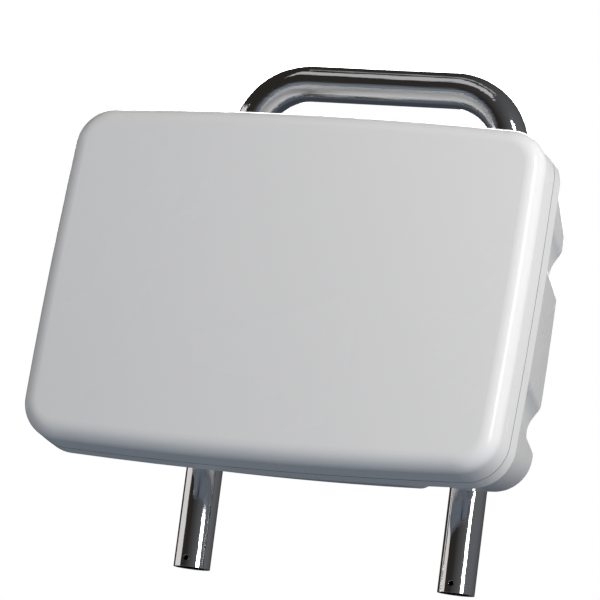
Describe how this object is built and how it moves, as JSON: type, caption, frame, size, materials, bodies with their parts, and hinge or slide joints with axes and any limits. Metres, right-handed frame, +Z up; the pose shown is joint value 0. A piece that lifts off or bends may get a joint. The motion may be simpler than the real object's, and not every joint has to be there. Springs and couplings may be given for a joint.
{
  "type": "guard-mounted instrument pod",
  "caption": "Blank two-part moulded instrument pod that leans back on a bent tubular guard, held by split clamps on the legs under a looped grab handle.",
  "frame": {"origin": "midway between the two open leg ends, on the plane of those ends", "axes": "+Z up along the legs towards the looped handle, +X to the right of someone facing the pod's blank face, +Y to the rear, away from that person"},
  "size_m": [0.42, 0.2295, 0.4474],
  "materials": {
    "white_moulding": "glossy moulded white, even colour",
    "polished_stainless": "mirror-polished stainless tube",
    "satin_stainless": "satin cast and sheet stainless",
    "stainless_fixings": "plain turned stainless screws, nuts and washers",
    "white_nylon": "satin white engineering plastic",
    "black_nylon": "satin black engineering plastic",
    "black_rubber": "matt black rubber",
    "brass": "turned brass"
  },
  "bodies": {
    "guard": {"guard_tube": "polished_stainless", "tube_grommet_left": "black_rubber", "tube_grommet_right": "black_rubber"},
    "pod": {"backing_plate_left": "satin_stainless", "backing_plate_right": "satin_stainless", "clamp_bolts": "stainless_fixings", "clamp_cap_lower_left": "satin_stainless", "clamp_cap_lower_right": "satin_stainless", "clamp_cap_upper_left": "satin_stainless", "clamp_cap_upper_right": "satin_stainless", "clamp_liner_lower_left": "black_rubber", "clamp_liner_lower_right": "black_rubber", "clamp_liner_upper_left": "black_rubber", "clamp_liner_upper_right": "black_rubber", "clamp_nuts": "stainless_fixings", "clamp_saddle_lower_left": "white_nylon", "clamp_saddle_lower_right": "white_nylon", "clamp_saddle_upper_left": "white_nylon", "clamp_saddle_upper_right": "white_nylon", "clamp_washers": "stainless_fixings", "cover_screw_washers": "stainless_fixings", "cover_screws": "stainless_fixings", "gland_body": "black_nylon", "gland_cap": "black_nylon", "gland_locknut": "black_nylon", "gland_seal": "black_rubber", "gland_washer": "black_rubber", "housing_gasket": "black_rubber", "rear_housing": "white_moulding"},
    "front": {"front_housing": "white_moulding", "cover_inserts": "brass"}
  },
  "joints": [
    {"name": "pod_height", "type": "slide", "parent": "guard", "child": "pod", "axis": [0, 0, 1], "range_m": [-0.04, 0.04]},
    {"name": "front_removal", "type": "slide", "parent": "pod", "child": "front", "axis": [0, -0.9909, 0.1349], "range_m": [0, 0.12]}
  ]
}
